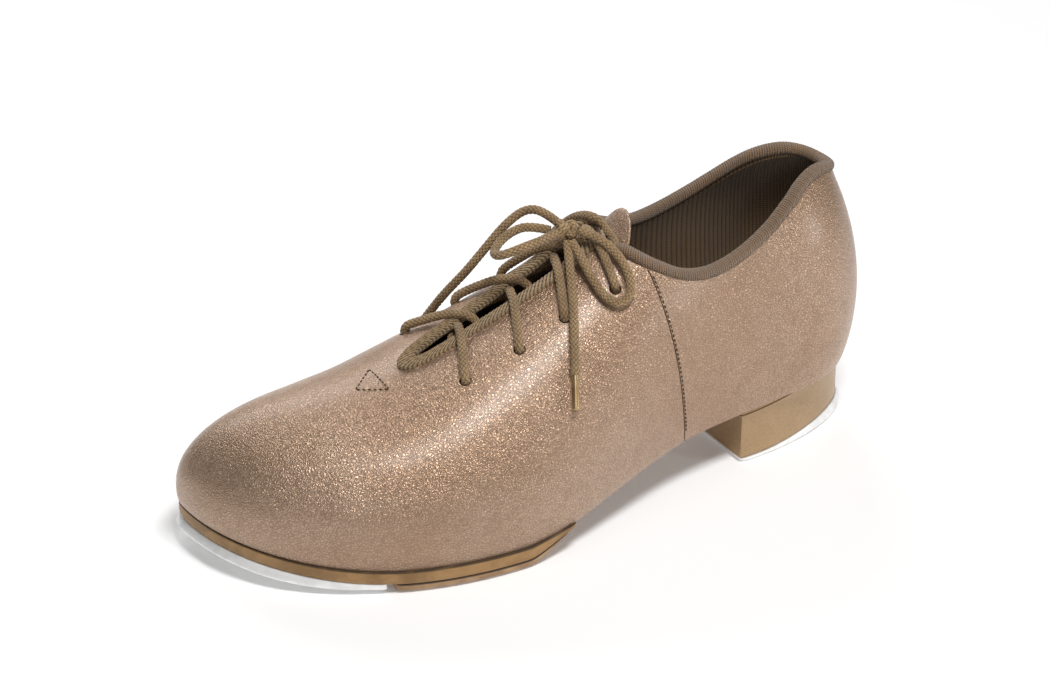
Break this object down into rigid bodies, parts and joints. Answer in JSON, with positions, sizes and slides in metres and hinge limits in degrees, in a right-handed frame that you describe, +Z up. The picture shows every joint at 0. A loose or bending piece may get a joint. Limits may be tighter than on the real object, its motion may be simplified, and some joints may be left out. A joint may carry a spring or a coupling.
{
  "type": "tap shoe",
  "caption": "Left lace-up tap shoe with a split sole, a low block heel, separate toe and heel taps and a sprung tongue.",
  "frame": {"origin": "on the floor under the middle of the shoe, without its free lace", "axes": "+X towards the toe, +Y towards the wearer's left (the shoe's outer side), +Z up"},
  "size_m": [0.2556, 0.0929, 0.1017],
  "materials": {
    "tan_leather": "soft pebbled leather with a slight pearl sheen",
    "lining_cloth": "plain woven lining",
    "puff_sheet": "stiffener sheet",
    "rib_knit": "ribbed elastic knit",
    "foam": "soft foam",
    "terry": "ribbed terry",
    "board": "insole board",
    "sole_leather": "dyed sole leather with a waxed edge",
    "heel_tan": "smooth tan heel cover",
    "tap_aluminium": "bright tumbled aluminium",
    "screw_steel": "zinc plated",
    "lace_braid": "round braided cotton lace",
    "aglet_metal": "pale brass",
    "thread": "dark brown thread"
  },
  "bodies": {
    "forepart": {"vamp_upper": "tan_leather", "vamp_lining": "lining_cloth", "toe_puff": "puff_sheet", "throat_binding": "rib_knit", "collar_front": "rib_knit", "front_insole_board": "board", "front_sock": "terry", "forefoot_outsole": "sole_leather", "half_sole_pad": "sole_leather", "toe_tap": "tap_aluminium", "toe_tap_screws": "screw_steel", "lace_half_a": "lace_braid", "lace_half_b": "lace_braid", "lace_knot": "lace_braid", "bow_loop_toe": "lace_braid", "bow_loop_side": "lace_braid", "lace_end_near": "lace_braid", "lace_end_far": "lace_braid", "aglet_near": "aglet_metal", "aglet_far": "aglet_metal", "tongue_tack_stitching": "thread"},
    "heelpart": {"heel_quarter": "tan_leather", "heel_counter": "puff_sheet", "quarter_padding": "foam", "quarter_lining": "terry", "collar_rear": "rib_knit", "heel_insole_board": "board", "heel_sock": "terry", "heel_block": "heel_tan", "heel_tap": "tap_aluminium", "heel_tap_screws": "screw_steel", "heel_nails": "screw_steel", "seam_stitching": "thread"},
    "tongue": {"tongue_leather": "tan_leather", "tongue_lining": "lining_cloth"}
  },
  "joints": [
    {"name": "arch_flex", "type": "hinge", "parent": "forepart", "child": "heelpart", "pos_m": [-0.0392, -0.0035, 0.0178], "axis": [0, -1, 0], "range_deg": [0, 25], "stiffness_Nm_per_rad": 1.2},
    {"name": "tongue_press", "type": "hinge", "parent": "forepart", "child": "tongue", "pos_m": [0.0548, -0.0025, 0.052], "axis": [0, -1, 0], "range_deg": [0, 9], "stiffness_Nm_per_rad": 0.02, "springref_deg": -20.05}
  ]
}
